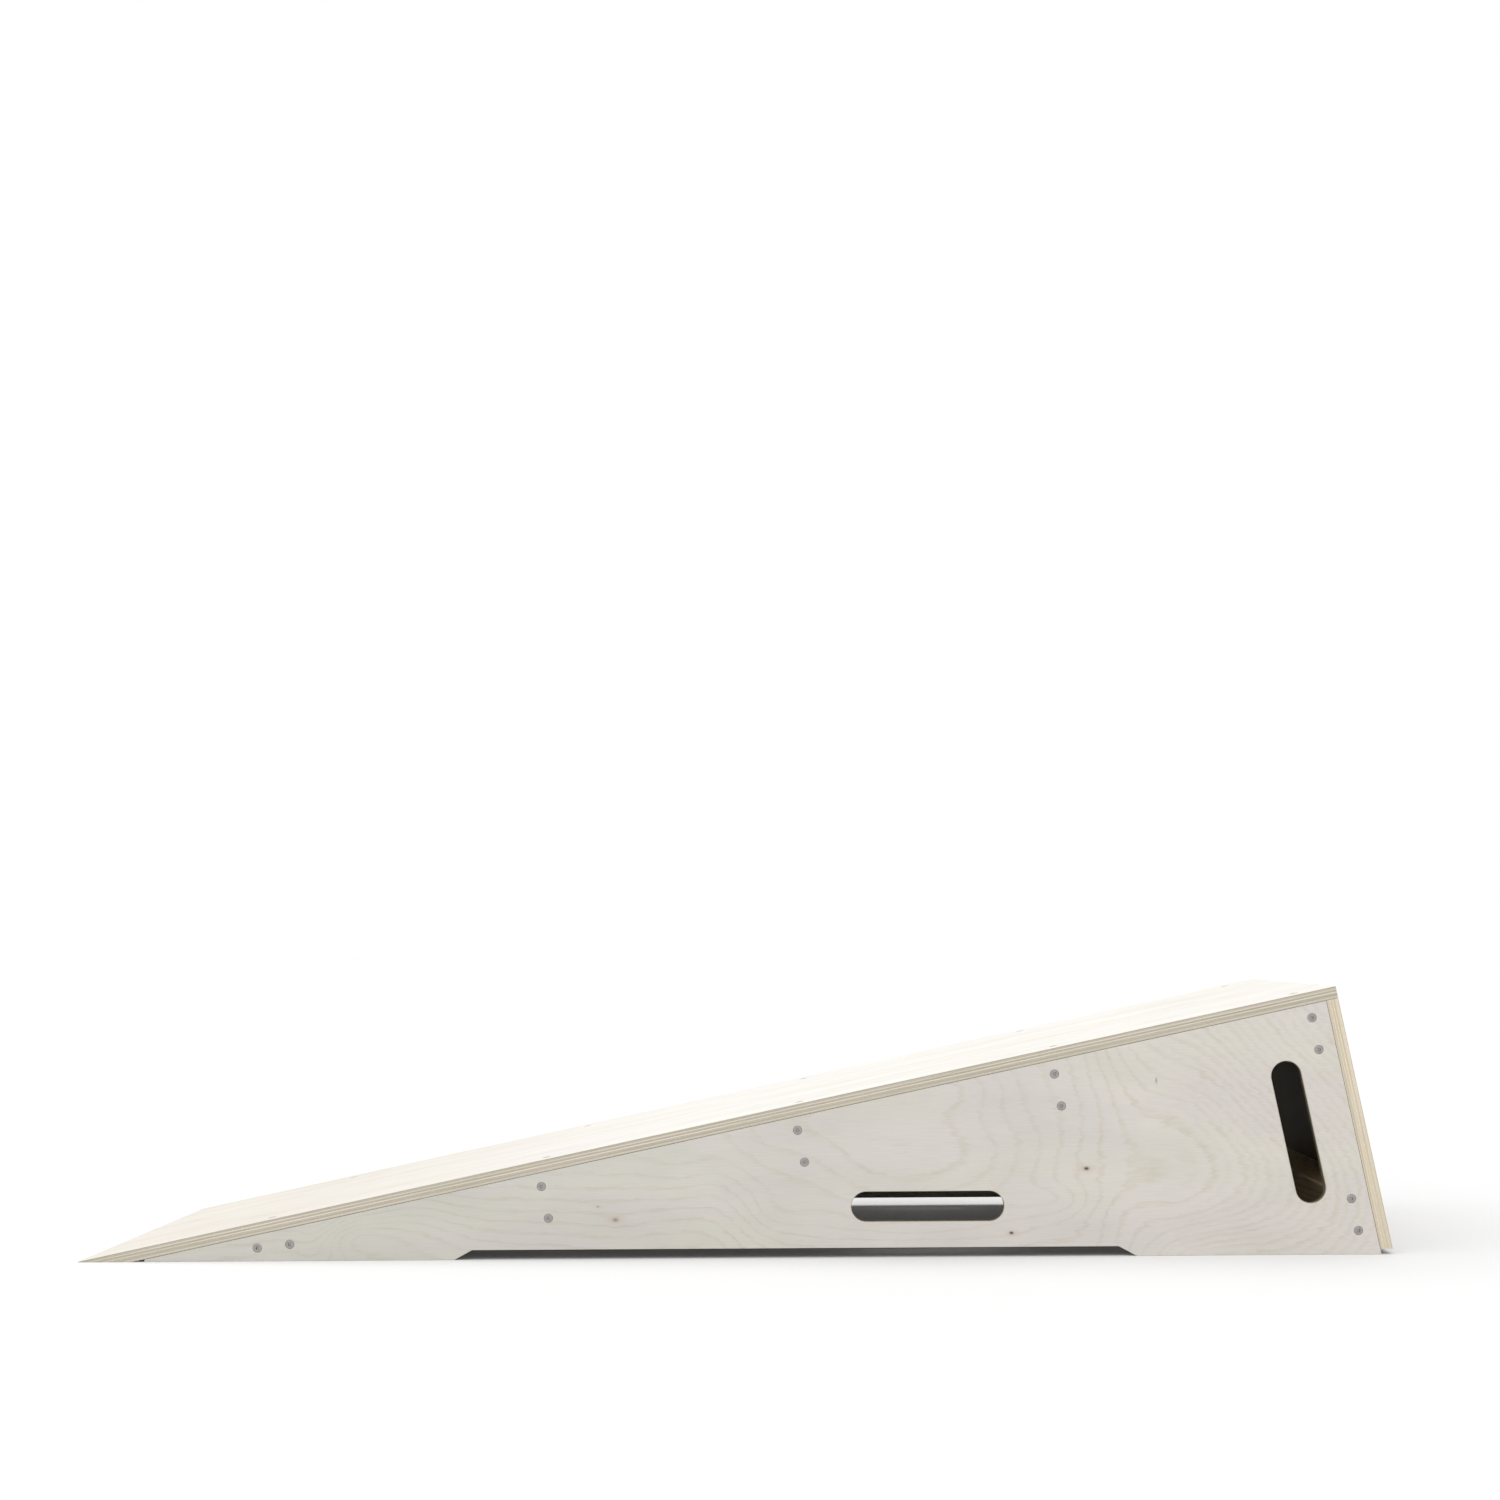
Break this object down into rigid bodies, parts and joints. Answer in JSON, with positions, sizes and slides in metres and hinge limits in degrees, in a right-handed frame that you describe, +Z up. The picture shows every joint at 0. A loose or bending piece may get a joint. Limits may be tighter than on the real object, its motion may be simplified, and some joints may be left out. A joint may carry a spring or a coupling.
{
  "type": "wedge ramp",
  "caption": "Free-standing plywood wedge ramp: flat deck rising from a feather edge, sides with hand slots and a foot notch, back panel and screwed cross battens.",
  "frame": {"origin": "on the floor, under the middle of the ramp's box", "axes": "+X up the ramp from the feather edge to the high back, +Z up, so -Y is the rider's right side"},
  "size_m": [1.2768, 0.5, 0.26],
  "materials": {
    "birch_plywood": "sanded birch veneer with a clear matt coat",
    "planed_pine": "planed softwood, uncoated",
    "zinc_steel": "zinc-plated screw"
  },
  "bodies": {
    "root": {"deck_panel": "birch_plywood", "back_panel": "birch_plywood", "side_panel_right": "birch_plywood", "side_panel_left": "birch_plywood", "nose_block": "planed_pine", "batten_low": "planed_pine", "batten_mid": "planed_pine", "batten_high": "planed_pine", "batten_rear_upper": "planed_pine", "batten_rear_lower": "planed_pine", "right_screw_nose_1": "zinc_steel", "right_screw_nose_2": "zinc_steel", "right_screw_low_1": "zinc_steel", "right_screw_low_2": "zinc_steel", "right_screw_mid_1": "zinc_steel", "right_screw_mid_2": "zinc_steel", "right_screw_high_1": "zinc_steel", "right_screw_high_2": "zinc_steel", "right_screw_rear_upper_1": "zinc_steel", "right_screw_rear_upper_2": "zinc_steel", "right_screw_rear_lower_1": "zinc_steel", "right_screw_rear_lower_2": "zinc_steel", "deck_screw_nose_right": "zinc_steel", "deck_screw_low_right": "zinc_steel", "deck_screw_mid_right": "zinc_steel", "deck_screw_high_right": "zinc_steel", "deck_screw_rear_upper_right": "zinc_steel", "back_screw_upper_right": "zinc_steel", "back_screw_lower_right": "zinc_steel", "left_screw_nose_1": "zinc_steel", "left_screw_nose_2": "zinc_steel", "left_screw_low_1": "zinc_steel", "left_screw_low_2": "zinc_steel", "left_screw_mid_1": "zinc_steel", "left_screw_mid_2": "zinc_steel", "left_screw_high_1": "zinc_steel", "left_screw_high_2": "zinc_steel", "left_screw_rear_upper_1": "zinc_steel", "left_screw_rear_upper_2": "zinc_steel", "left_screw_rear_lower_1": "zinc_steel", "left_screw_rear_lower_2": "zinc_steel", "deck_screw_nose_left": "zinc_steel", "deck_screw_low_left": "zinc_steel", "deck_screw_mid_left": "zinc_steel", "deck_screw_high_left": "zinc_steel", "deck_screw_rear_upper_left": "zinc_steel", "back_screw_upper_left": "zinc_steel", "back_screw_lower_left": "zinc_steel"}
  },
  "joints": []
}
